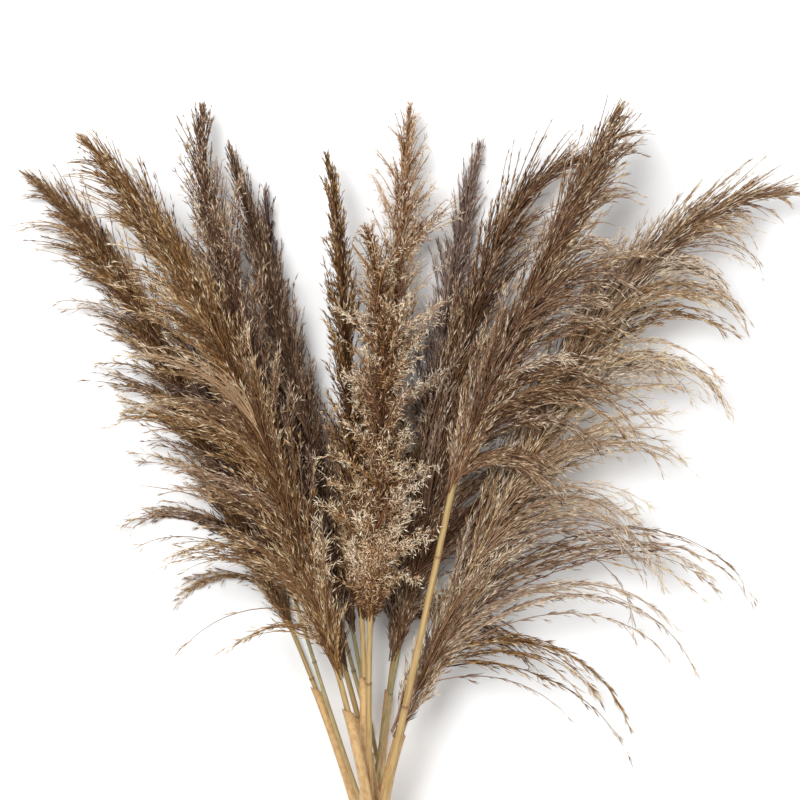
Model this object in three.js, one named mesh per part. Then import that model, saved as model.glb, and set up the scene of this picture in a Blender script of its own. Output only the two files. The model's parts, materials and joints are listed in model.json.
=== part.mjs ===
// A bundle of dried pampas grass, cut and laid down on a flat surface. Millimetres, +Z up.
//
// Thirteen stalks lie with their cut ends towards -Y and their plumes fanned out towards +Y.
// Every stalk is a culm (the cane) that carries one plume, and seven culms still wear the
// leaf sheath that grew around them. The culms cross one another at the waist of the bundle,
// which is the origin of the layout, and the plumes lie on top of each other in four layers.

import * as THREE from 'three';

// --- Driving dimensions ------------------------------------------------------------------

const PIECE_GAP = 0.3; // air between two pieces that would touch in the real bundle
const PLUME_DEPTH = 35.4; // thickness of a plume as it lies
const LAYER_PITCH = PLUME_DEPTH + 2 * PIECE_GAP; // height from one layer of plumes to the next
const REST_FLAT = 5; // how far the lowest plumes are pressed flat by the table
const RISE_LENGTH = 230; // distance above the waist at which every stalk has reached its layer
const LAYING_REACH = 0.52; // share of that rise in which the culms are laid clear of each other
const FOOT_SLOPE = 0.06; // how steeply the cut ends come down to the table from the waist
const SHEATH_WALL = 0.9; // thickness of a leaf sheath
const SHEATH_SLANT = 14; // how much further one side of a sheath's mouth reaches
const NODE_SWELL = 0.6; // how far a culm's nodes stand out from it
const NODE_LENGTH = 7; // length of the swelling at a node
const NODE_SPACING = 165; // distance between the nodes of one culm
const CULM_TAPER = 0.82; // radius under the plume, as a share of the radius at the cut end

// Each stalk is described in plan, from the waist of the bundle, in degrees from +Y with
// positive angles towards +X:
//   slot          where it crosses the waist, along X
//   lean, bow     heading at the waist, and the turn it makes by the top of its culm
//   foot, culm    length of the culm below and above the waist; under 0 it is cut above it
//   plume         length of the plume
//   arch, late    the turn of the plume from base to tip, and how late that turn comes
//   radius        radius of the culm at its cut end
//   left, right   how far the plume spreads to each side of its own axis
//   belly         where along the plume it is widest, 0 at the base and 1 at the tip
//   layer         layer of plumes it lies in, 0 on the table
//   seat          how far its axis lies above or below the middle of that layer
//   drop          how far its tip sinks below the rest of it
//   sheath        [top, length] of the leaf sheath, its top measured from the waist
// They are listed in the order in which they are laid down.
const STALKS = [
  {
    name: 'far_left', slot: -8, lean: -14, bow: -10, foot: 185, culm: 297, radius: 3,
    plume: 577, arch: -31, late: 3.7, left: 52, right: 34, belly: 0.42,
    layer: 0, seat: 0, drop: 0, sheath: [190, 125],
  },
  {
    name: 'left_dark', slot: 32, lean: -15, bow: -0.5, foot: -150, culm: 303, radius: 2.6,
    plume: 469, arch: 12, late: 1, left: 20, right: 18, belly: 0.5,
    layer: 0, seat: 0, drop: 0,
  },
  {
    name: 'right_dark', slot: -5, lean: 4.5, bow: 3.5, foot: 165, culm: 254, radius: 3.6,
    plume: 561, arch: 5.5, late: 2.3, left: 17, right: 42, belly: 0.45,
    layer: 0, seat: 0, drop: 0, sheath: [178, 115],
  },
  {
    name: 'left_short', slot: 5, lean: -18.5, bow: 1.5, foot: -70, culm: 321, radius: 2.5,
    plume: 323, arch: -22, late: 1.7, left: 38, right: 24, belly: 0.45,
    layer: 1, seat: 0, drop: 0,
  },
  {
    name: 'left_grey', slot: 22, lean: -10, bow: -1, foot: -75, culm: 289, radius: 2.6,
    plume: 535, arch: -6, late: 0.7, left: 22, right: 21, belly: 0.5,
    layer: 1, seat: -6, drop: 20,
  },
  {
    name: 'right_arching', slot: -18, lean: 9.5, bow: 1.5, foot: -75, culm: 277, radius: 2.8,
    plume: 591, arch: 82, late: 5.5, left: 20, right: 62, belly: 0.5,
    layer: 1, seat: 0, drop: 15,
  },
  {
    name: 'centre_tall', slot: 7, lean: -9.5, bow: 14, foot: 175, culm: 282, radius: 3.2,
    plume: 565, arch: -0.5, late: 2, left: 28, right: 30, belly: 0.6,
    layer: 1, seat: 4, drop: 20, sheath: [120, 60],
  },
  {
    name: 'left_tall', slot: 11, lean: -6.5, bow: -11, foot: 170, culm: 255, radius: 3.6,
    plume: 616, arch: 21, late: 5.5, left: 27, right: 27, belly: 0.6,
    layer: 2, seat: -5.5, drop: 45, sheath: [160, 100],
  },
  {
    name: 'far_right', slot: 4, lean: -0.5, bow: 22.5, foot: 190, culm: 193, radius: 4.6,
    plume: 747, arch: 74, late: 3.6, left: 38, right: 128, belly: 0.4,
    layer: 2, seat: 0, drop: 45, sheath: [150, 90],
  },
  {
    name: 'centre_slim', slot: -16, lean: 3, bow: -6, foot: 195, culm: 297, radius: 3.7,
    plume: 492, arch: -10, late: 5.5, left: 19, right: 18, belly: 0.5,
    layer: 2, seat: 6, drop: 50, sheath: [200, 135],
  },
  {
    name: 'left_front', slot: 2, lean: -6, bow: -10.5, foot: 190, culm: 249, radius: 3.8,
    plume: 633, arch: -29, late: 2, left: 66, right: 38, belly: 0.4,
    layer: 3, seat: 0, drop: 60, sheath: [175, 115],
  },
  {
    name: 'right_tall', slot: -9, lean: 12.5, bow: -0.5, foot: 195, culm: 439, radius: 4.2,
    plume: 450, arch: 19.5, late: 0.6, left: 26, right: 74, belly: 0.5,
    layer: 3, seat: 0, drop: 45,
  },
  {
    name: 'centre_front', slot: 0, lean: -4.5, bow: 7, foot: 185, culm: 295, radius: 3.8,
    plume: 413, arch: -16, late: 3.7, left: 37, right: 42, belly: 0.5,
    layer: 3, seat: 0, drop: 25,
  },
];

// How finely the solids are faceted, and how closely the stalks are followed in plan.
const CULM_SIDES = 8;
const CULM_RING_SPACING = 42;
const PLUME_SIDES = 14;
const PLUME_RINGS = 15;
const SHEATH_RING_SPACING = 36;
const PLAN_STEP = 2;
const PASS_SEARCH = 60;
const LAYING_STEP = 0.25;

const PLUME_COLOUR = 0x7d644b;
const CULM_COLOUR = 0xc9a45c;
const SHEATH_COLOUR = 0xd8bc82;

// --- The line a stalk follows ------------------------------------------------------------

function clamp(value, low, high) {
  return Math.min(high, Math.max(low, value));
}

/** Heading in radians at a distance above the waist; below it the culm is straight. */
function headingAt(stalk, distance) {
  const alongCulm = clamp(distance / stalk.culm, 0, 1);
  const alongPlume = clamp((distance - stalk.culm) / stalk.plume, 0, 1);
  const degrees = stalk.lean + stalk.bow * alongCulm + stalk.arch * alongPlume ** stalk.late;
  return THREE.MathUtils.degToRad(degrees);
}

/** Plan position of every step from the waist to the tip, so that it is integrated once. */
function walkPlan(stalk) {
  const steps = [new THREE.Vector2(stalk.slot, 0)];
  const count = Math.ceil((stalk.culm + stalk.plume) / PLAN_STEP) + 1;
  for (let i = 0; i < count; i += 1) {
    const heading = headingAt(stalk, (i + 0.5) * PLAN_STEP);
    const last = steps[i];
    steps.push(new THREE.Vector2(
      last.x + Math.sin(heading) * PLAN_STEP,
      last.y + Math.cos(heading) * PLAN_STEP,
    ));
  }
  return steps;
}

function planAt(stalk, distance) {
  if (distance <= 0) {
    const heading = headingAt(stalk, 0);
    return new THREE.Vector2(
      stalk.slot + Math.sin(heading) * distance,
      Math.cos(heading) * distance,
    );
  }
  const place = distance / PLAN_STEP;
  const index = Math.min(Math.floor(place), stalk.plan.length - 2);
  return stalk.plan[index].clone().lerp(stalk.plan[index + 1], place - index);
}

/** Height at which a stalk levels out. */
function levelHeight(stalk) {
  return PLUME_DEPTH / 2 - REST_FLAT + stalk.layer * LAYER_PITCH + stalk.seat;
}

/** How much of the climb from the waist to the layer is still to come, 1 down to 0. */
function climbLeft(distance) {
  return 1 - Math.sin((Math.PI / 2) * clamp(distance / RISE_LENGTH, 0, 1));
}

/** Height of the stalk's axis: up from the table, over the waist, then level in its layer. */
function heightAt(stalk, distance) {
  const level = levelHeight(stalk);
  const climb = level - stalk.waistHeight;
  if (distance < 0) {
    const hanging = stalk.waistHeight + FOOT_SLOPE * distance;
    return Math.max(outerRadius(stalk, distance), hanging);
  }
  const t = clamp((distance - stalk.culm) / stalk.plume, 0, 1);
  const sink = stalk.drop * clamp(2 * t - 1, 0, 1) ** 2;
  return level - climb * climbLeft(distance) - sink;
}

// --- Radii of the culm and of the sheath around it ---------------------------------------

function culmRadius(stalk, distance) {
  const t = (distance + stalk.foot) / (stalk.foot + stalk.culm);
  return stalk.radius * (1 + (CULM_TAPER - 1) * t);
}

/** Distances of the culm's nodes from the waist, counted down from the plume. */
function nodePlaces(stalk) {
  const places = [];
  const lowest = NODE_LENGTH * 2 - stalk.foot;
  for (let d = stalk.culm - NODE_SPACING / 2; d > lowest; d -= NODE_SPACING) {
    places.push(d);
  }
  return places;
}

function sheathBore(stalk) {
  return stalk.radius + NODE_SWELL + PIECE_GAP;
}

function underSheath(stalk, distance) {
  if (!stalk.sheath) {
    return false;
  }
  const [top, length] = stalk.sheath;
  return distance <= top + SHEATH_SLANT && distance >= top - length;
}

/** Radius that other culms have to keep clear of. */
function outerRadius(stalk, distance) {
  if (underSheath(stalk, distance)) {
    return sheathBore(stalk) + SHEATH_WALL;
  }
  return culmRadius(stalk, distance) + NODE_SWELL;
}

// --- Laying the culms on each other ------------------------------------------------------

/** Places where two culms pass close to each other in plan: how far along each, how near. */
function closePasses(one, other) {
  const passes = [];
  const top = Math.min(one.culm, RISE_LENGTH * LAYING_REACH);
  for (let d = -one.foot; d <= top; d += PLAN_STEP) {
    const here = planAt(one, d);
    const first = Math.max(-other.foot, d - PASS_SEARCH);
    const last = Math.min(other.culm, d + PASS_SEARCH);
    for (let e = first; e <= last; e += PLAN_STEP) {
      const apart = here.distanceTo(planAt(other, e));
      const reach = outerRadius(one, d) + outerRadius(other, e) + PIECE_GAP;
      if (apart < reach) {
        passes.push({ d, e, rise: Math.sqrt(reach * reach - apart * apart) });
      }
    }
  }
  return passes;
}

/** Gives every stalk, in the order of the list, the lowest free place at the waist. */
function layDown(stalks) {
  stalks.forEach((stalk, index) => {
    const crossings = stalks.slice(0, index).flatMap((lower) => (
      closePasses(stalk, lower).map(({ d, e, rise }) => ({
        d,
        rise,
        height: heightAt(lower, e),
      }))
    ));
    stalk.waistHeight = outerRadius(stalk, 0);
    const touches = ({ d, rise, height }) => Math.abs(heightAt(stalk, d) - height) < rise;
    while (crossings.some(touches)) {
      stalk.waistHeight += LAYING_STEP;
    }
  });
}

// --- Solids ------------------------------------------------------------------------------

/**
 * Skins a row of rings, each ring turning from the right-hand side up and over to the left.
 * The row is closed by flat caps, or by running the last ring back into the first.
 */
function skin(rings, endless = false) {
  const sides = rings[0].length;
  const positions = rings.flat().flatMap((point) => point.toArray());
  const index = [];
  const pairs = endless ? rings.length : rings.length - 1;
  for (let i = 0; i < pairs; i += 1) {
    const here = i * sides;
    const next = ((i + 1) % rings.length) * sides;
    for (let j = 0; j < sides; j += 1) {
      const k = (j + 1) % sides;
      index.push(here + j, next + j, here + k);
      index.push(next + j, next + k, here + k);
    }
  }
  if (!endless) {
    const last = (rings.length - 1) * sides;
    for (let j = 1; j < sides - 1; j += 1) {
      index.push(0, j, j + 1);
      index.push(last, last + j + 1, last + j);
    }
  }
  const geometry = new THREE.BufferGeometry();
  geometry.setAttribute('position', new THREE.Float32BufferAttribute(positions, 3));
  geometry.setIndex(index);
  geometry.computeVertexNormals();
  return geometry;
}

/** One ring across the stalk; `offset` gives each corner's step to the right and up. */
function ringAcross(stalk, distance, sides, offset) {
  const centre = planAt(stalk, distance);
  const heading = headingAt(stalk, distance);
  const height = heightAt(stalk, distance);
  const ring = [];
  for (let j = 0; j < sides; j += 1) {
    const [right, up] = offset((2 * Math.PI * j) / sides);
    ring.push(new THREE.Vector3(
      centre.x + Math.cos(heading) * right,
      centre.y - Math.sin(heading) * right,
      Math.max(0, height + up),
    ));
  }
  return ring;
}

function roundRing(stalk, distance, radius) {
  return ringAcross(stalk, distance, CULM_SIDES, (angle) => [
    radius * Math.cos(angle),
    radius * Math.sin(angle),
  ]);
}

/** Stations from `from` to `to`, evenly spaced and no further apart than `spacing`. */
function stations(from, to, spacing) {
  const count = Math.ceil((to - from) / spacing);
  return Array.from({ length: count + 1 }, (_, i) => from + ((to - from) * i) / count);
}

function culmGeometry(stalk) {
  const top = stalk.culm - PIECE_GAP;
  const rows = stations(-stalk.foot, top, CULM_RING_SPACING).map((d) => [d, 0]);
  for (const node of nodePlaces(stalk)) {
    const near = rows.filter(([d]) => Math.abs(d - node) < NODE_LENGTH);
    near.forEach((row) => rows.splice(rows.indexOf(row), 1));
    rows.push([node - NODE_LENGTH / 2, 0], [node, NODE_SWELL], [node + NODE_LENGTH / 2, 0]);
  }
  rows.sort((a, b) => a[0] - b[0]);
  return skin(rows.map(([d, swell]) => roundRing(stalk, d, culmRadius(stalk, d) + swell)));
}

/** An open sleeve round the culm whose mouth is slanted like a torn-off leaf. */
function sheathGeometry(stalk) {
  const [top, length] = stalk.sheath;
  const bore = sheathBore(stalk);
  const rows = stations(top - length, top, SHEATH_RING_SPACING);
  const sleeve = (radius) => rows.map((d, row) => {
    const ring = roundRing(stalk, d, radius);
    if (row < rows.length - 1) {
      return ring;
    }
    return ring.map((point, j) => {
      const slant = (SHEATH_SLANT * (1 + Math.cos((2 * Math.PI * j) / CULM_SIDES))) / 2;
      return roundRing(stalk, d + slant, radius)[j];
    });
  });
  return skin([...sleeve(bore + SHEATH_WALL), ...sleeve(bore).reverse()], true);
}

/** Share of the full spread at `t` along the plume, rising to 1 at its belly. */
function plumeSwell(t, belly) {
  if (t < belly) {
    return Math.sin((Math.PI / 2) * (t / belly)) ** 0.8;
  }
  return Math.cos((Math.PI / 2) * ((t - belly) / (1 - belly))) ** 0.9;
}

function plumeGeometry(stalk) {
  const neck = culmRadius(stalk, stalk.culm);
  const rings = [];
  for (let i = 0; i <= PLUME_RINGS; i += 1) {
    const t = i / PLUME_RINGS;
    const swell = plumeSwell(t, stalk.belly);
    const left = neck + (stalk.left - neck) * swell;
    const right = neck + (stalk.right - neck) * swell;
    const depth = neck + (PLUME_DEPTH / 2 - Math.abs(stalk.seat) - neck) * Math.sqrt(swell);
    rings.push(ringAcross(stalk, stalk.culm + stalk.plume * t, PLUME_SIDES, (angle) => [
      Math.cos(angle) * (Math.cos(angle) > 0 ? right : left),
      Math.sin(angle) * depth,
    ]));
  }
  return skin(rings);
}

// --- The bundle --------------------------------------------------------------------------

function piece(name, geometry, colour, roughness) {
  const material = new THREE.MeshStandardMaterial({ color: colour, roughness, metalness: 0 });
  const mesh = new THREE.Mesh(geometry, material);
  mesh.name = name;
  return mesh;
}

function buildBundle() {
  const bundle = new THREE.Group();
  bundle.name = 'pampas_grass_bundle';
  STALKS.forEach((stalk) => {
    stalk.plan = walkPlan(stalk);
  });
  layDown(STALKS);
  for (const stalk of STALKS) {
    bundle.add(piece(`culm_${stalk.name}`, culmGeometry(stalk), CULM_COLOUR, 0.6));
    bundle.add(piece(`plume_${stalk.name}`, plumeGeometry(stalk), PLUME_COLOUR, 0.95));
    if (stalk.sheath) {
      bundle.add(piece(`sheath_${stalk.name}`, sheathGeometry(stalk), SHEATH_COLOUR, 0.75));
    }
  }
  // The finished bundle has its origin on the table, under the middle of its own outline.
  const outline = new THREE.Box3().setFromObject(bundle, true);
  const middle = outline.getCenter(new THREE.Vector3());
  bundle.position.set(-middle.x, -middle.y, -outline.min.z);
  return bundle;
}

export default buildBundle();
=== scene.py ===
"""Looks of the dried pampas grass bundle.

Every plume is grown along its CAD solid: locks of long branches leave the axis and sag to
the side, branches carry branchlets, and branchlets carry spikelets. Culms and leaf sheaths
are rebuilt along their CAD solids with nodes, ribs and torn mouths. Metres throughout.
"""

import json
import math

import bpy
import numpy as np
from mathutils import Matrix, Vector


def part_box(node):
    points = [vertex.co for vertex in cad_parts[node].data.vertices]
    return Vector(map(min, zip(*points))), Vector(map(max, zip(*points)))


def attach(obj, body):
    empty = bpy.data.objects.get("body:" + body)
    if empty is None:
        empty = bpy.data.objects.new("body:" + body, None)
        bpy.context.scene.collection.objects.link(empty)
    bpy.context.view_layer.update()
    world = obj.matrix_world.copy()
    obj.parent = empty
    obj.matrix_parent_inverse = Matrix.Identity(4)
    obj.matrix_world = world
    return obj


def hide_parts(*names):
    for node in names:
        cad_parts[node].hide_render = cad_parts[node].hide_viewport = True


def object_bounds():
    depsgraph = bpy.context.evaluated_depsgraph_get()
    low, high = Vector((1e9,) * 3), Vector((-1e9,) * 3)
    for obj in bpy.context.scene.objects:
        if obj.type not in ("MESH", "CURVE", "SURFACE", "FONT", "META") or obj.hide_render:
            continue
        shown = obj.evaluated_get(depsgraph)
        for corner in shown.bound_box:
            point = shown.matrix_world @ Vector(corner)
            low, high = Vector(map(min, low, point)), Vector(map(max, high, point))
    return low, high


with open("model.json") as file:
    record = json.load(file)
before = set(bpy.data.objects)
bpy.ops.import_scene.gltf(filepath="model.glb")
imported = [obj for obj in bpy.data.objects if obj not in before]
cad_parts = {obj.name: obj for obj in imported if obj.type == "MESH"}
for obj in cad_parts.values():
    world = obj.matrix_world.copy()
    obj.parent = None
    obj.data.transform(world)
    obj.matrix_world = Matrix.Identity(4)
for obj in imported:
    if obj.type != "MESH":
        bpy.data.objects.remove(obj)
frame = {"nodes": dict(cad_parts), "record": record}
cad_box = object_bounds()

UP = np.array([0.0, 0.0, 1.0])
FIRST_RING = 0.010  # how much further than its nearest corner a solid's first ring reaches
TINY = 1e-12  # keeps a division by a length from failing
TABLE_GAP = 0.0006  # lowest that any hair settles over the table
SOFT_LAYER = 0.002  # height over that gap in which hairs flatten out
SOFT_FALL = 0.006  # how gently they do
FLUFF = 0.007  # how far hairs may stand above the solid that they replace
GOLDEN = 0.618  # a turn by this share from lock to lock fills both sides evenly

# Hairs are three-sided. Radii run from the foot of a hair to its tip.
GUIDE_STEPS = 20  # pieces of the middle line of a lock
BRANCH_STEPS = 12
TWIG_STEPS = 2  # a twig is a branchlet
BRANCH_RADII = (0.00080, 0.00034)
TWIG_RADII = (0.00034, 0.00020)
SPIKELET_RADII = (0.00040, 0.00068)  # thinnest and thickest
AXIS_RADII = (0.0022, 0.0004)
BELLY = 0.38  # how far along a spikelet is widest
SPIKELETS = 3.2  # spikelets on an average branchlet
SPIKELET_FACES = 6
BRANCH_FACES = 6 * (BRANCH_STEPS - 1) + 4
TWIG_FACES = 6 * (TWIG_STEPS - 1) + 4 + SPIKELET_FACES * SPIKELETS  # with its spikelets
MOST_FACES = 180_000  # most faces in one mesh of hairs

USUAL_LOCK = 0.16  # length of a lock whose width is as the style says
CORE_LONGEST = 0.13
CORE_SAG = 0.06
FOOT_HAIRS = 90  # short branches at the foot of any plume
BEARD_HAIRS = 500  # further ones for a beard as long as the plume
FOOT_SAG = 0.1

# Where a plume hangs to one side, the locks on its other side stand off by this share only.
CLOSE_LEFT = 0.35
CLOSE_RIGHT = 0.45

# Tufts spread wider and are paler, hairs on the top side are paler and those below the middle
# darker, painted light and shade, and a few are bleached.
TUFT_SPREAD = 2.2
TUFT_PALER = 0.24
PAINTED_TOP_LIGHT = 0.10
BLEACHED = 0.10  # share of the spikelets
BLEACHED_PALER = 0.28
NOWHERE = (1, 1)  # the part of a plume that is fluff, where its style names none

# The palette of a plume, a UV map: tone runs one way and hue the other, inside its edges.
HAIR_UV = "OFBake"
PALETTE_EDGE = 0.01
PALETTE_SPAN = 0.97
PALER_TIP = 0.07  # how much paler each hair is at its tip
SPOT = 0.004  # half the room that a ring of a hair takes there

# Canes: a UV map round and along them, and how strongly a point takes the colour of a node.
CANE_UV = "Cane"
RING = "ring"
CANE_SIDES = 20
CANE_ANGLES = 2 * math.pi * np.arange(CANE_SIDES) / CANE_SIDES
CANE_STEP = 0.003  # distance between stations, apart from those at nodes
NODE_SWELL = 0.0003  # how much wider than its neighbours the ring of a node is
NODE_REACH = 0.006  # how far the finer stations go to either side of a node
NODE_CLEAR = 0.0065  # how far from a node the other stations stay
NODE_RISE = 0.00055  # how far a node stands out
GROOVE = 0.00030  # depth of the groove above a node
GROOVE_AT = 0.0036  # how far above the node it is
CUT_END = 0.6  # how strongly the cut end takes the colour of a node

# Sheaths.
LAP = 0.10  # how far the lapped edge stands out, as a share of the radius
LAP_AT = 1.2  # where round the sheath that is, and how wide, in radians
LAP_WIDTH = 0.35
FLARE = 0.00035  # how far the mouth opens
TORN = 0.010  # depth of the tear at the mouth
RAGGED = 0.0018  # unevenness of its edge
OUTER_INSET = 0.0003  # how far the skins lie inside the wall of the CAD solid
INNER_INSET = 0.0001

# First seeds; the stalks count up from them.
PLUME_SEED = 100
CULM_SEED = 300
SHEATH_SEED = 500

# How each plume grows. Angles are degrees in plan from +Y, positive towards +X.
#   axis      where the axis runs across the plume, 0 at its left edge and 1 at its right
#   right     share of the locks that leave on the right
#   locks     number of locks
#   branches  number of branches in the largest locks
#   beard     how far down the culm the lowest hairs start, as a share of the plume
#   crowd     under 1 for more of them near the tip, over 1 for more near the foot
#   reach     length of the locks at the foot of the plume and at its tip
#   spread    angle between a lock and the axis where it leaves
#   hang      heading that the locks sag towards, on the left and on the right
#   sag       how much of the way there they turn, on the left and on the right
#   late      1 for an even bend, more for a bend near the tip of the lock
#   droop     how much more the lowest locks stand off
#   width     how far the branches of a lock stand apart
#   core      how many short branches lie along the axis, as a share of locks x branches
#   wisps     share of the locks that are one thin branch
#   curl      how far branchlets wander from their heading
#   frizz     how widely branchlets and spikelets stand off, 1 for lying close
#   twig      length of the longest branchlets
#   spikelet  length of the spikelets
#   hairs     faces that the plume has, roughly
#   tone      colour of the inner hairs, darker partly as painted shade, and of the tips, 0 darkest and 1 palest
#   hue       0 for warm brown, 1 for rosy brown
#   tufts     share of the locks that end in cream tufts, more on the right than on the left
#   fluff     part of the plume that has gone to fluff, as shares of its length
PLUMES = {
    "far_left": dict(
        axis=0.62, right=0.26, beard=0.05, crowd=0.9, locks=56, branches=12, reach=(0.205, 0.095),
        spread=14, hang=(-140, 0), sag=(0.66, 0.10), late=(1.0, 1.7), droop=0.6, width=0.0030,
        core=0.55, wisps=0.25, curl=20, frizz=1.0, twig=0.024, spikelet=(0.006, 0.011),
        hairs=230_000, tone=(0.18, 0.70), hue=0.3, tufts=0.04, slot="brown_plume",
    ),
    "left_dark": dict(
        axis=0.50, right=0.50, beard=0.04, crowd=0.9, locks=26, branches=8, reach=(0.100, 0.055),
        spread=12, hang=(-120, 60), sag=(0.12, 0.10), late=(1.2, 2.0), droop=0.2, width=0.0025,
        core=0.9, wisps=0.2, curl=14, frizz=1.0, twig=0.020, spikelet=(0.006, 0.010),
        hairs=115_000, tone=(0.20, 0.66), hue=1.0, tufts=0.0, slot="dark_plume",
    ),
    "right_dark": dict(
        axis=0.32, right=0.58, beard=0.06, crowd=1.15, locks=36, branches=10, reach=(0.160, 0.070),
        spread=12, hang=(-110, 120), sag=(0.08, 0.22), late=(1.3, 2.2), droop=0.9, width=0.0030,
        core=0.8, wisps=0.2, curl=10, frizz=0.9, twig=0.022, spikelet=(0.007, 0.012),
        hairs=175_000, tone=(0.38, 0.94), hue=0.85, tufts=0.0, slot="dark_plume",
    ),
    "left_short": dict(
        axis=0.61, right=0.30, beard=0.05, crowd=1.0, locks=26, branches=9, reach=(0.165, 0.070),
        spread=14, hang=(-145, 20), sag=(0.50, 0.10), late=(1.0, 1.7), droop=0.4, width=0.0030,
        core=0.5, wisps=0.2, curl=20, frizz=1.1, twig=0.022, spikelet=(0.006, 0.011),
        hairs=100_000, tone=(0.10, 0.60), hue=0.4, tufts=0.0, slot="dark_plume",
    ),
    "left_grey": dict(
        axis=0.50, right=0.50, beard=0.05, crowd=0.9, locks=36, branches=9, reach=(0.130, 0.070),
        spread=13, hang=(-120, 60), sag=(0.10, 0.10), late=(1.2, 2.0), droop=0.2, width=0.0030,
        core=0.9, wisps=0.2, curl=11, frizz=0.9, twig=0.022, spikelet=(0.006, 0.011),
        hairs=165_000, tone=(0.15, 0.66), hue=0.7, tufts=0.0, slot="grey_plume",
    ),
    "right_arching": dict(
        axis=0.30, right=0.66, beard=0.08, crowd=1.35, locks=60, branches=11,
        reach=(0.240, 0.100), spread=20, hang=(80, 172), sag=(0.32, 0.52), late=(1.2, 2.2),
        droop=1.2, width=0.0040, core=0.7, wisps=0.2, curl=12, frizz=0.85, twig=0.024,
        spikelet=(0.007, 0.012), hairs=280_000, tone=(0.18, 0.78), hue=0.7, tufts=0.10,
        slot="brown_plume",
    ),
    "centre_tall": dict(
        axis=0.46, right=0.66, beard=0.04, crowd=0.88, locks=40, branches=9, reach=(0.125, 0.080),
        spread=34, hang=(-140, 120), sag=(0.16, 0.34), late=(1.0, 1.8), droop=0.2, width=0.0028,
        core=0.8, wisps=0.15, curl=30, frizz=1.4, twig=0.021, spikelet=(0.005, 0.009),
        hairs=195_000, tone=(0.28, 0.90), hue=0.6, tufts=0.55, slot="pale_plume",
    ),
    "left_tall": dict(
        axis=0.50, right=0.50, beard=0.05, crowd=0.88, locks=44, branches=10,
        reach=(0.140, 0.100), spread=21, hang=(-130, 60), sag=(0.18, 0.12), late=(1.0, 1.8),
        droop=0.2, width=0.0034, core=0.9, wisps=0.15, curl=18, frizz=1.1, twig=0.024,
        spikelet=(0.006, 0.011), hairs=190_000, tone=(0.12, 0.62), hue=0.8, tufts=0.05,
        fluff=(0.60, 0.88), slot="brown_plume",
    ),
    "far_right": dict(
        axis=0.30, right=0.62, beard=0.06, crowd=1.05, locks=60, branches=14,
        reach=(0.390, 0.115), spread=13, hang=(90, 178), sag=(0.30, 0.94), late=(1.2, 2.3),
        droop=1.3, width=0.0055, core=0.50, wisps=0.12, curl=10, frizz=0.8, twig=0.026,
        spikelet=(0.009, 0.014), hairs=460_000, tone=(0.33, 0.96), hue=0.65, tufts=0.14,
        slot="brown_plume",
    ),
    "centre_slim": dict(
        axis=0.51, right=0.50, beard=0.04, crowd=0.9, locks=34, branches=8, reach=(0.110, 0.050),
        spread=12, hang=(-130, 100), sag=(0.12, 0.10), late=(1.2, 1.8), droop=0.2, width=0.0026,
        core=0.9, wisps=0.25, curl=16, frizz=1.0, twig=0.020, spikelet=(0.006, 0.010),
        hairs=165_000, tone=(0.06, 0.54), hue=0.2, tufts=0.04, slot="brown_plume",
    ),
    "left_front": dict(
        axis=0.64, right=0.27, beard=0.05, crowd=1.0, locks=64, branches=14, reach=(0.230, 0.115),
        spread=15, hang=(-140, 0), sag=(0.60, 0.06), late=(1.0, 1.8), droop=0.8, width=0.0036,
        core=0.6, wisps=0.2, curl=20, frizz=1.0, twig=0.026, spikelet=(0.007, 0.012),
        hairs=295_000, tone=(0.18, 0.80), hue=0.25, tufts=0.05, slot="brown_plume",
    ),
    "right_tall": dict(
        axis=0.34, right=0.74, beard=0.03, crowd=1.15, locks=54, branches=11, reach=(0.230, 0.100),
        spread=18, hang=(90, 172), sag=(0.32, 0.74), late=(1.2, 2.2), droop=0.6, width=0.0044,
        core=0.7, wisps=0.2, curl=12, frizz=0.85, twig=0.024, spikelet=(0.007, 0.012),
        hairs=270_000, tone=(0.20, 0.84), hue=0.7, tufts=0.12, slot="brown_plume",
    ),
    "centre_front": dict(
        axis=0.52, right=0.60, beard=0.04, crowd=0.95, locks=46, branches=8, reach=(0.095, 0.068),
        spread=29, hang=(-150, 150), sag=(0.34, 0.45), late=(1.0, 1.6), droop=0.2, width=0.0028,
        core=0.6, wisps=0.1, curl=46, frizz=1.8, twig=0.022, spikelet=(0.005, 0.009),
        hairs=220_000, tone=(-0.08, 1.04), hue=0.35, tufts=0.60, slot="pale_plume",
    ),
}


# --- Reading the CAD solids --------------------------------------------------------------


def rings(node, foot):
    """Rings of a lofted CAD solid in order, each an array of points, from its end at `foot`."""
    mesh = frame["nodes"][node].data
    raw = np.array([v.co for v in mesh.vertices])
    corners, where = np.unique(np.round(raw, 6), axis=0, return_inverse=True)
    where = where.ravel()
    near = [set() for _ in corners]
    for a, b in (edge.vertices for edge in mesh.edges):
        near[where[a]].add(where[b])
        near[where[b]].add(where[a])
    away = np.linalg.norm(corners - foot, axis=1)
    level = set(np.flatnonzero(away < away.min() + FIRST_RING))
    seen = set(level)
    found = []
    while level:
        found.append(corners[sorted(level)])
        level = {n for i in level for n in near[i]} - seen
        seen |= level
    return found


def smooth_rows(rows, count):
    """Catmull-Rom through the rows of an array, resampled to `count` rows."""
    rows = np.asarray(rows, float)
    padded = np.vstack([2 * rows[0] - rows[1], rows, 2 * rows[-1] - rows[-2]])
    place = np.linspace(0, len(rows) - 1, count)
    i = np.minimum(place.astype(int), len(rows) - 2)
    t = (place - i)[:, None]
    p0, p1, p2, p3 = padded[i], padded[i + 1], padded[i + 2], padded[i + 3]
    return 0.5 * (
        2 * p1 + (p2 - p0) * t + (2 * p0 - 5 * p1 + 4 * p2 - p3) * t**2
        + (3 * p1 - p0 - 3 * p2 + p3) * t**3
    )


def unit(vectors, least=0.0):
    """Vectors scaled to a length of 1."""
    return vectors / (np.linalg.norm(vectors, axis=-1, keepdims=True) + least)


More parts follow.
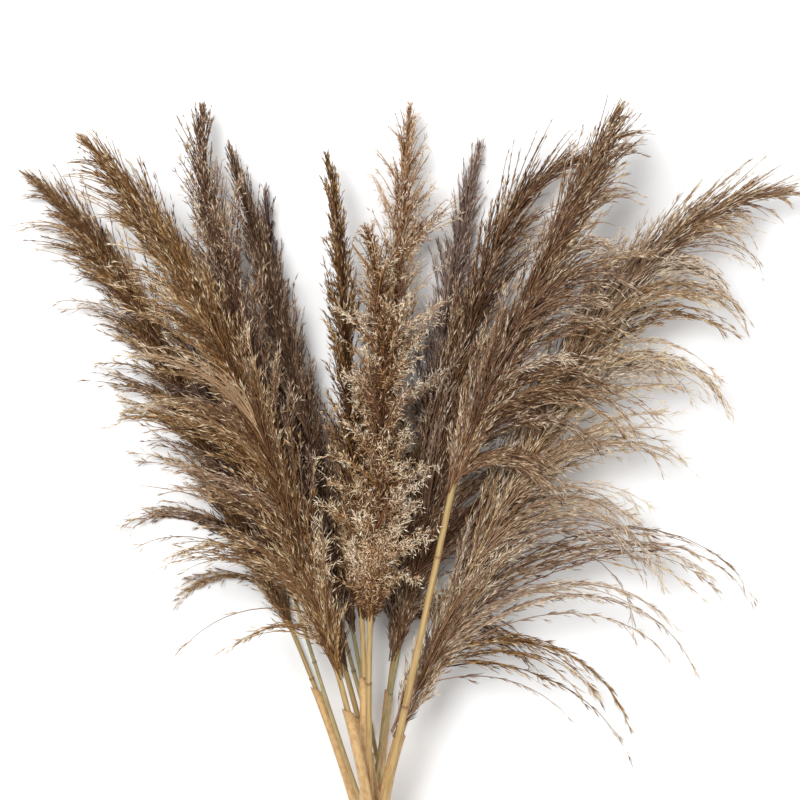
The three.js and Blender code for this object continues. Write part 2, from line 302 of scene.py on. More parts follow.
def distances(line):
    """How far along a line each of its points is."""
    steps = np.linalg.norm(np.diff(line, axis=0), axis=1)
    return np.concatenate([[0], np.cumsum(steps)])


def culm_line(stalk):
    """Centres and radii of the culm's rings, from the cut end up."""
    mesh = frame["nodes"]["culm_" + stalk].data
    points = np.array([v.co for v in mesh.vertices])
    cut = points[points[:, 1].argmin()]
    found = rings("culm_" + stalk, cut)
    centres = np.array([(ring.min(0) + ring.max(0)) / 2 for ring in found])
    radii = np.array([np.ptp(ring[:, 2]) / 2 for ring in found])
    return centres, radii


class Spine:
    """The axis of a plume, with its heading and half of the plume's depth."""

    STEPS = 80

    def __init__(self, stalk, axis):
        culm, _ = culm_line(stalk)
        found = rings("plume_" + stalk, culm[-1])
        middles = np.array([ring.mean(0) for ring in found])
        ahead = np.gradient(middles[:, :2], axis=0)
        rows = []
        for ring, way in zip(found, ahead):
            side = np.array([way[1], -way[0]]) / np.hypot(*way)
            flat = ring[:, :2] - ring[:, :2].mean(0)
            across = np.linalg.svd(flat)[2][0]
            across *= np.sign(across @ side)
            spread = ring[:, :2] @ across
            left, right = ring[spread.argmin()], ring[spread.argmax()]
            middle = left + (right - left) * axis
            rows.append([*middle, np.ptp(ring[:, 2]) / 2])
        table = smooth_rows(rows, self.STEPS)
        self.points, self.depth = table[:, :3], table[:, 3]
        way = np.gradient(self.points[:, :2], axis=0)
        self.heading = np.unwrap(np.arctan2(way[:, 0], way[:, 1]))
        self.along = distances(self.points)
        self.length = self.along[-1]

    def at(self, t):
        """Point, heading and half depth at shares `t` of the length, negative on the culm."""
        d = np.asarray(t) * self.length
        point = np.stack([np.interp(d, self.along, self.points[:, k]) for k in range(3)], -1)
        ahead = self.points[1] - self.points[0]
        point += np.minimum(d, 0)[:, None] * ahead / np.linalg.norm(ahead)
        heading = np.interp(d, self.along, self.heading)
        return point, heading, np.interp(d, self.along, self.depth)


# --- Growing ------------------------------------------------------------------------------


def grow(rng, start, heading, rise, length, target, sag, late, curl, steps):
    """Lines that leave `start` and turn from their heading towards `target` as they go."""
    n = len(start)
    s = (np.arange(steps) + 0.5) / steps
    phase = rng.uniform(0, 2 * math.pi, (n, 2, 1))
    turns = rng.uniform(0.5, 1.3, (n, 2, 1))
    wave = np.sin(phase + 2 * math.pi * turns * s) - np.sin(phase)
    wander = np.radians(curl)[:, None, None] * wave * s
    bend = s ** np.reshape(late, (-1, 1))
    h = heading[:, None] + ((target - heading) * sag)[:, None] * bend + wander[:, 0]
    e = rise[:, None] * (1 - 1.5 * s) + 0.5 * wander[:, 1]
    way = np.stack([np.sin(h) * np.cos(e), np.cos(h) * np.cos(e), np.sin(e)], -1)
    lines = np.cumsum(way * (length / steps)[:, None, None], axis=1)
    return np.concatenate([start[:, None], start[:, None] + lines], axis=1)


def settle(lines, middle, depth):
    """Presses lines softly into the height that the plume has, and off the table."""
    room = (depth + FLUFF)[:, None]
    above = lines[:, :, 2] - middle[:, None]
    lines[:, :, 2] = middle[:, None] + room * np.tanh(above / room)
    height = lines[:, :, 2]
    flattened = TABLE_GAP + SOFT_LAYER * np.exp((height - TABLE_GAP - SOFT_LAYER) / SOFT_FALL)
    lines[:, :, 2] = np.where(height < TABLE_GAP + SOFT_LAYER, flattened, height)
    return lines


def pick(lines, which, s):
    """Point and direction on each chosen line at the share `s` of its length."""
    last = lines.shape[1] - 1
    place = np.clip(s, 0, 1) * last
    i = np.minimum(place.astype(int), last - 1)
    a, b = lines[which, i], lines[which, i + 1]
    way = unit(b - a)
    point = a + (b - a) * (place - i)[:, None]
    return point, np.arctan2(way[:, 0], way[:, 1]), np.arcsin(np.clip(way[:, 2], -1, 1))


def hair_faces(m, rooted):
    """Faces of one hair: `m` rings of three corners, then its tip, and its root if it has one."""
    faces = []
    for i in range(m - 1):
        for k in range(3):
            a, b = 3 * i + k, 3 * i + (k + 1) % 3
            faces += [(a, b, a + 3), (b, b + 3, a + 3)]
    top, last = 3 * m, 3 * (m - 1)
    faces += [(last + k, last + (k + 1) % 3, top) for k in range(3)]
    if rooted:
        faces += [((k + 1) % 3, k, top + 1) for k in range(3)]
    else:
        faces.append((0, 2, 1))
    return np.array(faces)


class Hairs:
    """Collects closed three-sided hairs, each with a tone and a hue, for one mesh."""

    # The three corners of a ring lie apart in the palette, so that no face is flat there.
    AROUND = SPOT * np.array([[0, 0], [1, 2], [2, 0]])

    def __init__(self):
        self.verts, self.faces, self.uvs = [], [], []
        self.count = 0

    def add(self, rings_at, radii, tip, tone, hue, root=None):
        """Hairs through rings of three corners that end in a point, and may start in one."""
        n, m = rings_at.shape[:2]
        line = np.concatenate([rings_at, tip[:, None]], axis=1)
        way = unit(np.gradient(line, axis=1)[:, :m], TINY)
        side = unit(np.cross(way, UP), TINY)
        over = np.cross(way, side)
        corners = []
        for k in range(3):
            angle = 2 * math.pi * k / 3 + math.pi / 6
            turn = math.cos(angle) * side + math.sin(angle) * over
            corners.append(rings_at + turn * radii[..., None])
        body = np.stack(corners, axis=2).reshape(n, m * 3, 3)
        parts = [body, tip[:, None]]
        share = np.linspace(0.0, 0.85, m) if m > 1 else np.array([0.5])
        spots = [self.AROUND + (PALER_TIP * s, SPOT / 2 * (i % 2)) for i, s in enumerate(share)]
        spots.append([(PALER_TIP + SPOT, SPOT)])
        if root is not None:
            parts.append(root[:, None])
            spots.append([(SPOT, SPOT)])
        verts = np.concatenate(parts, axis=1)
        size = verts.shape[1]
        first = self.count + size * np.arange(n)[:, None, None]
        self.verts.append(verts.reshape(-1, 3))
        self.faces.append((first + hair_faces(m, root is not None)).reshape(-1, 3))
        place = np.stack([
            PALETTE_EDGE + np.clip(tone, 0, 1) * (PALETTE_SPAN - PALER_TIP),
            PALETTE_EDGE + PALETTE_SPAN * np.clip(hue, 0, 1),
        ], -1)
        self.uvs.append((place[:, None] + np.concatenate(spots)).reshape(-1, 2))
        self.count += n * size

    def strands(self, lines, ends, tone, hue):
        """Hairs along whole lines, tapering between the two radii in `ends`."""
        n, m = len(lines), lines.shape[1] - 1
        radii = np.tile(np.linspace(*ends, m), (n, 1))
        self.add(lines[:, :-1], radii, lines[:, -1], tone, hue)

    def spikelets(self, start, heading, rise, length, radius, tone, hue):
        """Short spindles that start and end in a point."""
        way = np.stack([
            np.sin(heading) * np.cos(rise), np.cos(heading) * np.cos(rise), np.sin(rise),
        ], -1)
        tip = start + way * length[:, None]
        belly = start + way * (BELLY * length)[:, None]
        tip[:, 2] = np.maximum(tip[:, 2], TABLE_GAP)
        self.add(belly[:, None], radius[:, None], tip, tone, hue, root=start)

    def mesh(self, name):
        """One mesh of all the hairs, with nothing below the table."""
        verts = np.concatenate(self.verts)
        verts[:, 2] = np.maximum(verts[:, 2], 0.0)
        faces = np.concatenate(self.faces)
        uvs = np.concatenate(self.uvs)
        mesh = bpy.data.meshes.new(name)
        mesh.vertices.add(len(verts))
        mesh.vertices.foreach_set("co", verts.astype(np.float32).ravel())
        mesh.loops.add(faces.size)
        mesh.loops.foreach_set("vertex_index", faces.astype(np.int32).ravel())
        mesh.polygons.add(len(faces))
        mesh.polygons.foreach_set("loop_start", np.arange(0, faces.size, 3, dtype=np.int32))
        layer = mesh.uv_layers.new(name=HAIR_UV)
        layer.data.foreach_set("uv", uvs[faces.ravel()].astype(np.float32).ravel())
        mesh.update(calc_edges=True)
        mesh.polygons.foreach_set("use_smooth", np.ones(len(faces), bool))
        return mesh


def taper(t, share):
    """1 along the plume, falling to 0 over the last `share` of it."""
    return np.clip((1.0 - t) / share, 0.0, 1.0)


def room_ahead(rng, spine, t):
    """How long a branch may be before it would run past the tip of the plume."""
    return (1.0 - t) * spine.length * rng.uniform(0.45, 1.0, len(t)) + 0.004


def reach_at(t, style):
    """Length of the locks along the plume."""
    first, last = style["reach"]
    return (first + (last - first) * t**0.8) * np.clip(0.60 + t / 0.20, 0, 1)


def lock_guides(rng, spine, style):
    """Middle lines of the locks: each leaves the axis on one side and sags."""
    locks = style["locks"]
    t = (np.arange(locks) + rng.uniform(0.1, 0.9, locks)) / locks
    t = 0.97 * t ** style["crowd"]
    turn = (np.arange(locks) * GOLDEN + rng.random()) % 1
    right = turn < style["right"]
    side = np.where(right, 1.0, -1.0)
    start, heading, depth = spine.at(t)
    start[:, 2] += rng.normal(0, 0.40, locks) * depth
    length = reach_at(t, style) * rng.uniform(0.70, 1.15, locks)
    length = np.minimum(length, room_ahead(rng, spine, t))
    low = np.exp(-t / 0.10)  # the lowest locks stand off more and droop sooner
    spread = np.radians(style["spread"]) * rng.uniform(0.45, 1.45, locks)
    spread *= (1.2 - 0.7 * t) * (1 + style["droop"] * low)
    if style["hang"][0] > 0:
        spread *= np.where(right, 1.0, CLOSE_LEFT)
    if style["hang"][1] <= 0:
        spread *= np.where(right, CLOSE_RIGHT, 1.0)
    sag_left, sag_right = style["sag"]
    sag = np.where(right, sag_right, sag_left) * rng.uniform(0.50, 1.25, locks)
    sag *= (1.15 - 0.35 * t) * (1 + 0.5 * low)
    late = rng.uniform(*style["late"], locks) * (1 - 0.4 * low)
    hang_left, hang_right = np.radians(style["hang"])
    target = np.where(right, hang_right, hang_left)
    line = grow(
        rng, start, heading + side * spread, np.radians(rng.normal(0, 10, locks)), length,
        target, np.minimum(sag, 1.0), late, np.full(locks, style["curl"] * 0.25), GUIDE_STEPS,
    )
    return dict(
        line=line, t=t, start=start, length=length, right=right, target=target, sag=sag,
    )


def lock_branches(rng, spine, style):
    """Branches in locks: those of one lock start near each other and follow its middle line."""
    locks = style["locks"]
    guides = lock_guides(rng, spine, style)
    size = rng.uniform(0.25, 1.0, locks) ** 0.7 * style["branches"]
    size *= 0.5 + 0.5 * taper(guides["t"], 0.3)
    size = np.where(rng.random(locks) < style["wisps"], 1, np.maximum(size, 2))
    lock = np.repeat(np.arange(locks), size.astype(int))
    own = {key: value[lock] for key, value in guides.items()}
    n = len(lock)
    s = np.linspace(0, 1, BRANCH_STEPS + 1)
    share = rng.uniform(0.35, 1.0, n) ** 0.75
    root, _, _ = spine.at(np.clip(own["t"] + rng.normal(0, 0.011, n), 0, 0.99))
    root[:, 2] = own["start"][:, 2] + rng.normal(0, 0.0018, n)
    place = s * share[:, None] * GUIDE_STEPS
    i = np.minimum(place.astype(int), GUIDE_STEPS - 1)
    row = np.arange(n)[:, None]
    a, b = own["line"][row, i], own["line"][row, i + 1]
    line = a + (b - a) * (place - i)[..., None]
    way = b - a
    beside = unit(np.stack([way[..., 1], -way[..., 0], 0 * way[..., 0]], -1), TINY)
    size_up = (own["length"] / USUAL_LOCK)[:, None]
    swell = np.sin(math.pi * s * share[:, None]) ** 0.8 * size_up
    drift = rng.normal(0, 0.0045, n)[:, None] * s**2.2 * size_up
    line += (root - own["start"])[:, None] * ((1 - s) ** 1.5)[:, None]
    line += beside * (rng.normal(0, style["width"], n)[:, None] * swell + drift)[..., None]
    line[..., 2] += rng.normal(0, 0.7 * style["width"], n)[:, None] * swell
    return dict(
        line=line, t=own["t"], length=own["length"] * share, target=own["target"],
        sag=own["sag"], shade=rng.normal(0, 0.09, locks)[lock] + rng.normal(0, 0.06, n),
        hue=rng.normal(style["hue"], 0.22, locks)[lock] + rng.normal(0, 0.10, n),
        tuft=rng.random(locks)[lock] < style["tufts"] * np.where(own["right"], 1.5, 0.4),
        bushy=np.where(size[lock] < 2, 0.45, 1.0),
    )


def core_branches(rng, spine, style):
    """Short branches that lie close along the axis and make the body of the plume dense."""
    n = int(style["locks"] * style["branches"] * style["core"])
    t = 0.99 * rng.uniform(0.0, 1.0, n) ** style["crowd"]
    side = np.where(rng.random(n) < style["right"], 1.0, -1.0)
    start, heading, depth = spine.at(t)
    start[:, 2] += rng.normal(0, 0.35, n) * depth
    length = np.minimum(reach_at(t, style), CORE_LONGEST) * rng.uniform(0.5, 1.0, n)
    length = np.minimum(length, room_ahead(rng, spine, t))
    spread = np.radians(rng.uniform(1, 16, n)) * (0.35 + 0.65 * taper(t, 0.4))
    hang_left, hang_right = np.radians(style["hang"])
    target = np.where(side > 0, hang_right, hang_left)
    line = grow(
        rng, start, heading + side * spread, np.radians(rng.normal(0, 11, n)), length,
        target, np.full(n, CORE_SAG), 1.8, np.full(n, style["curl"] * 0.3), BRANCH_STEPS,
    )
    return dict(
        line=line, t=t, length=length, target=target, sag=np.full(n, CORE_SAG),
        # Core branches are a little darker: painted shade deep in the plume.
        shade=rng.normal(-0.05, 0.08, n), hue=rng.normal(style["hue"], 0.22, n),
        tuft=np.zeros(n, bool), bushy=np.ones(n),
    )


def foot_branches(rng, spine, style):
    """Short branches that clothe the top of the culm and the foot of the plume."""
    n = int(FOOT_HAIRS + BEARD_HAIRS * style["beard"])
    t = rng.uniform(-style["beard"], 0.10, n)
    start, heading, _ = spine.at(t)
    side = rng.choice([-1.0, 1.0], n)
    up = np.clip(rng.uniform(-0.5, 1.5, n), -1, 1)  # mostly on the top and the flanks
    out = np.sqrt(1 - up**2)
    neck = spine.depth[0]
    start[:, 0] += side * np.cos(heading) * neck * out
    start[:, 1] -= side * np.sin(heading) * neck * out
    start[:, 2] += neck * up
    length = rng.uniform(0.035, 0.080, n)
    target = heading + side * 2.0
    line = grow(
        rng, start, heading + side * np.radians(rng.uniform(0, 9, n)),
        np.radians(rng.normal(4, 7, n)), length, target, rng.uniform(0, 0.22, n), 1.6,
        np.full(n, style["curl"] * 0.4), BRANCH_STEPS,
    )
    return dict(
        line=line, t=t, length=length, target=target, sag=np.full(n, FOOT_SAG),
        shade=rng.normal(0.02, 0.08, n), hue=rng.normal(style["hue"], 0.22, n),
        tuft=np.zeros(n, bool), bushy=np.full(n, 1.5),
    )


def bear_spikelets(rng, hairs, style, twigs):
    """Spikelets along the branchlets, a few of them bleached."""
    each = np.maximum((twigs["length"] / style["twig"] * 2 * SPIKELETS).astype(int), 2)
    bearer = np.repeat(np.arange(len(each)), each)
    n = len(bearer)
    s = rng.uniform(0.05, 1.0, n)
    point, heading, rise = pick(twigs["line"], bearer, s)
    turn = rng.choice([-1.0, 1.0], n) * np.radians(rng.uniform(2, 15, n)) * twigs["wide"][bearer]
    tone = twigs["tone"][bearer] + 0.10 * (s - 0.5) + rng.normal(0, 0.16, n)
    tone += np.where(rng.random(n) < BLEACHED, BLEACHED_PALER, 0.0)
    hairs.spikelets(
        point, heading + turn, rise + np.radians(rng.normal(0, 9, n)),
        rng.uniform(*style["spikelet"], n) * (0.35 + 0.65 * twigs["slim"][bearer]),
        rng.uniform(*SPIKELET_RADII, n), tone, twigs["hue"][bearer] + rng.normal(0, 0.06, n),
    )


def clothe(rng, hairs, spine, style, part, faces):
    """Covers branches with branchlets and spikelets, which take about `faces` faces."""
    point, _, depth = spine.at(np.maximum(part["t"], 0.02))
    middle = point[:, 2]
    branches = settle(part["line"], middle, depth)
    # Branches and the feet of branchlets take the inner tone, darker partly as painted shade
    # inside the plume; tips are paler.
    inner, outer = style["tone"]
    shade = inner + (outer - inner) * 0.24 + part["shade"]
    hairs.strands(branches, BRANCH_RADII, shade, part["hue"])

    # Branchlets lie close along the branches.
    number = part["length"] * part["bushy"]
    number *= (faces - len(branches) * BRANCH_FACES) / TWIG_FACES / number.sum()
    owner = np.repeat(np.arange(len(branches)), np.maximum(number.astype(int), 3))
    own = {key: part[key][owner] for key in ("t", "length", "target", "sag", "tuft", "hue")}
    n = len(owner)
    s = rng.uniform(0.04, 1.0, n) ** 0.88
    point, heading, rise = pick(branches, owner, s)
    fluff_starts, fluff_ends = style.get("fluff", NOWHERE)
    fluffy = (own["t"] > fluff_starts) & (own["t"] < fluff_ends)
    tuft = (own["tuft"] & (s > 0.4)) | fluffy
    slim = 0.30 + 0.70 * taper(own["t"] + s * own["length"] / spine.length, 0.25)
    wide = np.where(tuft, TUFT_SPREAD, 1.0) * style["frizz"] * slim
    turn = rng.choice([-1.0, 1.0], n) * np.radians(rng.uniform(2, 13, n)) * wide
    length = style["twig"] * (1 - 0.5 * s) * rng.uniform(0.5, 1.15, n) * slim
    line = grow(
        rng, point, heading + turn, rise + np.radians(rng.normal(0, 7, n)) * wide, length,
        own["target"], 0.2 * own["sag"], 1.3, style["curl"] * wide, TWIG_STEPS,
    )
    settle(line, middle[owner], depth[owner])
    # Branchlets darken towards their feet, partly their own colour and partly painted shade among
    # the branches.
    tone = inner + (outer - inner) * (0.20 + 0.70 * s**1.4) + part["shade"][owner]
    tone += rng.normal(0, 0.12, n) + TUFT_PALER * tuft
    # Painted light and shade: hairs above the middle of the plume are paler, those below it
    # darker.
    tone += PAINTED_TOP_LIGHT * np.tanh((line[:, 1, 2] - middle[owner]) / depth[owner])
    hue = own["hue"] + rng.normal(0, 0.08, n)
    hairs.strands(line, TWIG_RADII, tone, hue)
    twigs = dict(line=line, length=length, wide=wide, slim=slim, tone=tone, hue=hue)
    bear_spikelets(rng, hairs, style, twigs)


def grow_plume(stalk, style, seed):
    """Hairs of a plume in one or more groups, from its foot to its tip."""
    rng = np.random.default_rng(seed)
    spine = Spine(stalk, style["axis"])
    kinds = [make(rng, spine, style) for make in (lock_branches, core_branches, foot_branches)]
    whole = {key: np.concatenate([kind[key] for kind in kinds]) for key in kinds[0]}
    weight = whole["length"] * whole["bushy"]
    order = np.argsort(whole["t"], kind="stable")
    place = np.empty(len(order))
    place[order] = np.cumsum(weight[order]) / weight.sum()
    count = math.ceil(style["hairs"] / MOST_FACES)
    grown = []
    for number in range(count):
        group = np.minimum((place * count).astype(int), count - 1) == number
        hairs = Hairs()
        part = {key: value[group] for key, value in whole.items()}
        clothe(rng, hairs, spine, style, part, style["hairs"] / count)
        grown.append(hairs)
    # The axis itself, thinning out to the tip.
    grown[0].strands(spine.points[None, ::4], AXIS_RADII, np.array([0.45]), np.array([0.4]))
    return grown


# --- Materials ----------------------------------------------------------------------------


def srgb(red, green, blue):
    """Linear colour of an sRGB value given as 0 to 255."""
    def linear(c):
        c /= 255
        return c / 12.92 if c <= 0.04045 else ((c + 0.055) / 1.055) ** 2.4

    return (linear(red), linear(green), linear(blue), 1.0)


class Nodes:
    """Short names for building one material's node tree."""

    def __init__(self, name):
        self.material = bpy.data.materials.new(name)
        self.material.use_nodes = True
        self.tree = self.material.node_tree
        self.shader = self.tree.nodes["Principled BSDF"]

    def add(self, kind, **inputs):
        node = self.tree.nodes.new(kind)
        for key, value in inputs.items():
            self.link(value, node.inputs[key.replace("_", " ")])
        return node

    def link(self, value, socket):
        if isinstance(value, bpy.types.NodeSocket):
            self.tree.links.new(value, socket)
        else:
            socket.default_value = value

    def math(self, operation, a, b=0.0):
        node = self.tree.nodes.new("ShaderNodeMath")
        node.operation = operation
        self.link(a, node.inputs[0])
        self.link(b, node.inputs[1])
        return node.outputs[0]

    def ramp(self, value, stops):
        node = self.tree.nodes.new("ShaderNodeValToRGB")
        self.link(value, node.inputs[0])
        elements = node.color_ramp.elements
        while len(elements) < len(stops):
            elements.new(0.5)
        for element, (place, colour) in zip(elements, stops):
            element.position = place
            element.color = colour
        return node.outputs[0]

    def mix(self, factor, a, b, blend="MIX"):
        node = self.tree.nodes.new("ShaderNodeMix")
        node.data_type = "RGBA"
        node.blend_type = blend
        self.link(factor, node.inputs[0])
        self.link(a, node.inputs[6])
        self.link(b, node.inputs[7])
        return node.outputs[2]

    def uv(self, name):
        node = self.add("ShaderNodeUVMap")
        node.uv_map = name
        return node.outputs[0]

    def noise(self, uv, stretch, **inputs):
        """Noise along a UV map that is stretched by a scale of its own each way."""
        place = self.add("ShaderNodeMapping", Vector=uv, Scale=stretch)
        return self.add("ShaderNodeTexNoise", Vector=place.outputs[0], **inputs).outputs["Fac"]

    def set(self, **inputs):
        for key, value in inputs.items():
            self.link(value, self.shader.inputs[key.replace("_", " ")])


def plume_material(name, warm, rosy):
    """Dry hair: the palette runs from dark to cream one way and from warm to rosy the other."""
    k = Nodes(name)
    uv = k.uv(HAIR_UV)
    tone, hue, _ = k.add("ShaderNodeSeparateXYZ", Vector=uv).outputs
    mottle = k.noise(uv, (60, 60, 1), Scale=1.0, Detail=2.0)
    uneven = k.math("MULTIPLY", k.math("SUBTRACT", mottle, 0.5), 0.20)
    shade = k.math("ADD", tone, uneven)
    places = (0.0, 0.34, 0.68, 1.0)
    colour = k.mix(
        hue, k.ramp(shade, list(zip(places, warm))), k.ramp(shade, list(zip(places, rosy))),
    )
    rough = k.math("ADD", 0.66, k.math("MULTIPLY", mottle, 0.2))
    k.set(Base_Color=colour, Roughness=rough, Specular_IOR_Level=0.12)
    return k.material


def cane_material(name, low, high, node_colour, rib_scale):
    """Dried cane: straw below and greener above, ribbed lengthways, darker at the nodes."""
    k = Nodes(name)
    uv = k.uv(CANE_UV)
    _, height, _ = k.add("ShaderNodeSeparateXYZ", Vector=uv).outputs
    ribs = k.noise(uv, (rib_scale, 2.0, 1), Scale=1.0, Detail=3.0)
    spots = k.noise(uv, (5, 14, 1), Scale=1.3, Detail=4.0)
    base = k.mix(height, low, high)
    streak = k.ramp(ribs, [(0.3, (0.72, 0.70, 0.66, 1)), (0.7, (1.1, 1.08, 1.02, 1))])
    base = k.mix(0.8, base, streak, "MULTIPLY")
    blotch = k.ramp(spots, [(0.42, (1, 1, 1, 1)), (0.68, (0.60, 0.46, 0.36, 1))])
    base = k.mix(0.75, base, blotch, "MULTIPLY")
    ring = k.add("ShaderNodeAttribute")
    ring.attribute_name = RING
    base = k.mix(ring.outputs["Fac"], base, node_colour)
    bump = k.add("ShaderNodeBump", Height=ribs, Strength=0.35, Distance=0.0004)
    rough = k.math("ADD", 0.38, k.math("MULTIPLY", spots, 0.3))
    k.set(Base_Color=base, Roughness=rough, Normal=bump.outputs[0])
    return k.material


# The darkest stops colour the inner hairs, whose darkness is partly painted shade between the
# hairs.
PLUME_MATERIALS = {
    "brown_plume": plume_material(
        "brown_plume",
        [srgb(34, 14, 4), srgb(122, 84, 44), srgb(200, 163, 112), srgb(252, 236, 204)],
        [srgb(38, 18, 12), srgb(118, 86, 69), srgb(188, 160, 136), srgb(242, 228, 208)],
    ),
    "dark_plume": plume_material(
        "dark_plume",
        [srgb(30, 13, 7), srgb(96, 68, 44), srgb(172, 140, 104), srgb(236, 216, 184)],
        [srgb(34, 18, 18), srgb(102, 80, 74), srgb(172, 148, 138), srgb(232, 214, 202)],
    ),
    "grey_plume": plume_material(
        "grey_plume",
        [srgb(36, 18, 8), srgb(112, 84, 54), srgb(184, 156, 120), srgb(238, 220, 190)],
        [srgb(38, 20, 15), srgb(110, 82, 66), srgb(180, 150, 128), srgb(236, 216, 196)],
    ),
    "pale_plume": plume_material(
        "pale_plume",
        [srgb(40, 16, 5), srgb(134, 92, 52), srgb(216, 182, 136), srgb(255, 244, 218)],
        [srgb(44, 19, 10), srgb(132, 92, 66), srgb(210, 176, 144), srgb(254, 238, 218)],
    ),
}
CANE_MATERIALS = {
    "culm": cane_material(
        "culm", srgb(204, 168, 114), srgb(168, 144, 94), srgb(112, 80, 48), 34,
    ),
    "green_culm": cane_material(
        "green_culm", srgb(190, 168, 120), srgb(142, 142, 104), srgb(104, 92, 62), 30,
    ),
    "leaf_sheath": cane_material(
        "leaf_sheath", srgb(212, 178, 128), srgb(202, 166, 114), srgb(150, 112, 72), 52,
    ),
}


# --- Culms and sheaths --------------------------------------------------------------------


def spokes(line):
    """Unit vectors square to a line at each of its points, one for each side of a cane."""
    way = unit(np.gradient(line, axis=0))
    side = unit(np.cross(way, UP))
    over = np.cross(side, way)
    return (
        np.cos(CANE_ANGLES)[None, :, None] * side[:, None]
        - np.sin(CANE_ANGLES)[None, :, None] * over[:, None]
    )


def tube_mesh(name, rows, uv_rows, ring_rows, endless):
    """Skins rows of points, stations x sides x 3, and caps the ends or joins them if endless."""
    stations, sides = rows.shape[:2]
    verts = rows.reshape(-1, 3).tolist()
    faces, uvs = [], []
    pairs = stations if endless else stations - 1
    for i in range(pairs):
        a, b = i * sides, ((i + 1) % stations) * sides
        for j in range(sides):
            k = (j + 1) % sides
            faces.append((a + j, a + k, b + k, b + j))
            u0, u1 = j / sides, (j + 1) / sides
            v0, v1 = uv_rows[i], uv_rows[(i + 1) % stations]
            uvs += [(u0, v0), (u1, v0), (u1, v1), (u0, v1)]
    if not endless:
        for start, flip in ((0, True), ((stations - 1) * sides, False)):
            loop = list(range(start, start + sides))
            faces.append(tuple(reversed(loop)) if flip else tuple(loop))
            uvs += [(j / sides, 0.0 if flip else 1.0) for j in range(sides)]
    mesh = bpy.data.meshes.new(name)
    mesh.from_pydata(verts, [], faces)
    layer = mesh.uv_layers.new(name=CANE_UV)
    layer.data.foreach_set("uv", np.array(uvs, np.float32).ravel())
    ring = mesh.attributes.new(RING, "FLOAT", "POINT")
    ring.data.foreach_set("value", np.repeat(ring_rows, sides).astype(np.float32))
    mesh.polygons.foreach_set("use_smooth", np.ones(len(mesh.polygons), bool))
    mesh.update()
    return mesh


def place_piece(name, mesh, material, node):
    """Puts a mesh in the scene in place of a CAD node."""
    mesh.materials.append(material)
    piece = bpy.data.objects.new(name, mesh)
    bpy.context.scene.collection.objects.link(piece)
    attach(piece, "root")
    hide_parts(node)


def bell(x, width):
    """1 at 0, falling off smoothly on both sides."""
    return np.exp(-((x / width) ** 2))


def ramp_up(t, start, run):
    """0 up to `start` and 1 from `run` later on."""
    return np.clip((t - start) / run, 0, 1)


def cane_places(length, nodes):
    """Where the stations of a cane are along it, closer together around its nodes."""
    along = np.linspace(0, length, max(int(length / CANE_STEP), 12))
    for node in nodes:
        fine = node + np.linspace(-NODE_REACH, NODE_REACH, 13)
        along = np.concatenate([along[np.abs(along - node) > NODE_CLEAR], fine])
    return np.sort(along)


def grow_culm(stalk, slot, seed):
    """A cane with swollen nodes, a groove above each of them and shallow flutes."""
    rng = np.random.default_rng(seed)
    centres, radii = culm_line(stalk)
    steps = distances(centres)
    swollen = [
        i for i in range(1, len(radii) - 1)
        if radii[i] > radii[i - 1] + NODE_SWELL and radii[i] > radii[i + 1] + NODE_SWELL
    ]
    plain = [i for i in range(len(radii)) if i not in swollen]
    along = cane_places(steps[-1], steps[swollen])
    dense = smooth_rows(centres[plain], 160)
    dense_steps = distances(dense)
    dense_steps *= steps[-1] / dense_steps[-1]
    line = np.stack([np.interp(along, dense_steps, dense[:, k]) for k in range(3)], -1)
    radius = np.interp(along, steps[plain], radii[plain])
    ring = np.zeros(len(along))
    for i in swollen:
        away = along - steps[i]
        radius += NODE_RISE * bell(away, 0.0016)
        radius -= GROOVE * bell(away - GROOVE_AT, 0.0011)
        ring = np.maximum(ring, 0.85 * bell(away, 0.0017))
    radius *= 1 + 0.012 * np.sin(along * 60 + rng.uniform(0, 6))
    ring[0] = CUT_END
    flute = 1 + 0.010 * np.cos(5 * CANE_ANGLES + rng.uniform(0, 6))
    rows = line[:, None] - spokes(line) * (radius[:, None] * flute)[:, :, None]
    rows[..., 2] = np.maximum(rows[..., 2], 0.0)
    mesh = tube_mesh("cane_" + stalk, rows, along / steps[-1], ring, endless=False)
    place_piece("cane_" + stalk, mesh, CANE_MATERIALS[slot], "culm_" + stalk)


def grow_sheath(stalk, seed):
    """A sleeve round the culm with a torn mouth and one edge lapped over the other."""
    rng = np.random.default_rng(seed)
    node = "sheath_" + stalk
    low, high = (np.array(corner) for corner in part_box(node))
    centres, _ = culm_line(stalk)
    dense = smooth_rows(centres, 600)
    inside = (dense[:, 1] > low[1] + 0.001) & (dense[:, 1] < high[1] - 0.004)
    line = dense[inside][::3]
    points = np.array([v.co for v in frame["nodes"][node].data.vertices])
    away = np.linalg.norm(points[:, None] - dense[None], axis=2).min(axis=1)
    outer, inner = away.max(), away.min()
    t = np.linspace(0, 1, len(line))
    lap = LAP * bell(CANE_ANGLES - LAP_AT, LAP_WIDTH)
    flare = FLARE * ramp_up(t, 0.9, 0.1) ** 2
    way = unit(np.gradient(line, axis=0))
    spoke = spokes(line)
    tear = TORN * (0.5 + 0.5 * np.cos(CANE_ANGLES - 0.6))
    tear += rng.uniform(-RAGGED, RAGGED, CANE_SIDES)
    shift = ramp_up(t, 0.86, 0.14)[:, None] * (tear - 0.004)[None]

    def sleeve(radius):
        return (
            line[:, None] - spoke * (radius * (1 + lap)[None] + flare[:, None])[:, :, None]
            + way[:, None] * shift[:, :, None]
        )

    skin = np.concatenate([sleeve(outer - OUTER_INSET), sleeve(inner + INNER_INSET)[::-1]])
    skin[..., 2] = np.maximum(skin[..., 2], 0.0)
    v = np.concatenate([t, t[::-1]])
    ring = ramp_up(v, 0.93, 0.07) * 0.5
    mesh = tube_mesh("leaf_" + stalk, skin, v, ring, endless=True)
    place_piece("leaf_" + stalk, mesh, CANE_MATERIALS["leaf_sheath"], node)


# --- The bundle ---------------------------------------------------------------------------

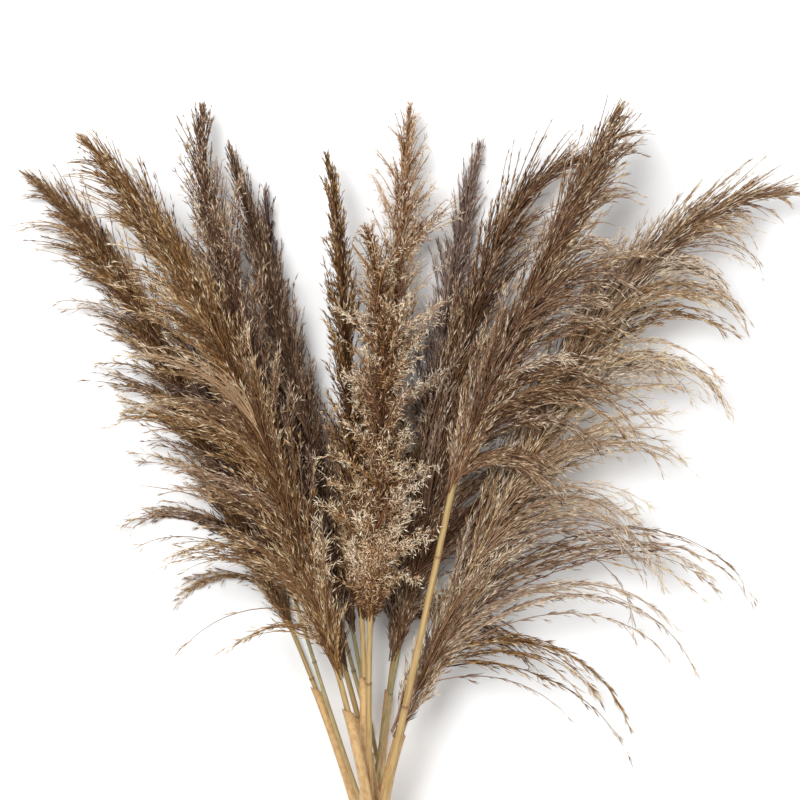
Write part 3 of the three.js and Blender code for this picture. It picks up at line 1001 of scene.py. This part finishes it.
slots = {part["node"]: part["material_slot"] for part in frame["record"]["subparts"]}
for number, (stalk, style) in enumerate(PLUMES.items()):
    for group, hairs in enumerate(grow_plume(stalk, style, PLUME_SEED + number)):
        name = f"hairs_{stalk}_{group + 1}"
        slot = style["slot"]
        place_piece(name, hairs.mesh(name), PLUME_MATERIALS[slot], "plume_" + stalk)
    grow_culm(stalk, slots["culm_" + stalk], CULM_SEED + number)
    if "sheath_" + stalk in slots:
        grow_sheath(stalk, SHEATH_SEED + number)


# --- Floor, light and camera --------------------------------------------------------------

FLOOR_REACH = 20
FLOOR_GREY = 0.86
WORLD_LIGHT = 0.62

floor_mesh = bpy.data.meshes.new("floor")
corners = [(x * FLOOR_REACH, y * FLOOR_REACH, 0) for x, y in ((-1, -1), (1, -1), (1, 1), (-1, 1))]
floor_mesh.from_pydata(corners, [], [(0, 1, 2, 3)])
floor = bpy.data.objects.new("floor", floor_mesh)
floor_look = Nodes("floor")
floor_look.set(Base_Color=(FLOOR_GREY, FLOOR_GREY, FLOOR_GREY, 1), Roughness=0.9)
floor_mesh.materials.append(floor_look.material)
bpy.context.scene.collection.objects.link(floor)


def area_light(name, place, size, power):
    """A round soft light that shines at the origin."""
    light = bpy.data.lights.new(name, "AREA")
    light.shape = "DISK"
    light.size = size
    light.energy = power
    lamp = bpy.data.objects.new(name, light)
    lamp.location = place
    lamp.rotation_euler = (-lamp.location).to_track_quat("-Z", "Y").to_euler()
    bpy.context.scene.collection.objects.link(lamp)


area_light("key", place=(-0.7, 0.9, 2.7), size=1.3, power=72)
area_light("fill", place=(1.8, -0.6, 2.2), size=2.2, power=14)

scene = bpy.context.scene
world = bpy.data.worlds.new("studio")
world.use_nodes = True
background = world.node_tree.nodes["Background"]
background.inputs["Color"].default_value = (1, 1, 1, 1)
background.inputs["Strength"].default_value = WORLD_LIGHT
scene.world = world
scene.view_settings.view_transform = "Standard"

# The camera looks straight down, framed so that the cut ends run out of the bottom.
VIEW_WIDTH = 0.88
VIEW_MIDDLE = -0.0095
HEADROOM = 0.113
CAMERA_HEIGHT = 2.6
_, (_, high_y, high_z) = cad_box
SIGHT_HEIGHT = high_z / 2
camera = bpy.data.cameras.new("camera")
camera.sensor_width = 36
camera.lens = camera.sensor_width * (CAMERA_HEIGHT - SIGHT_HEIGHT) / VIEW_WIDTH
eye = bpy.data.objects.new("camera", camera)
eye.location = (VIEW_MIDDLE, high_y + HEADROOM - VIEW_WIDTH / 2, CAMERA_HEIGHT)
scene.collection.objects.link(eye)
scene.camera = eye
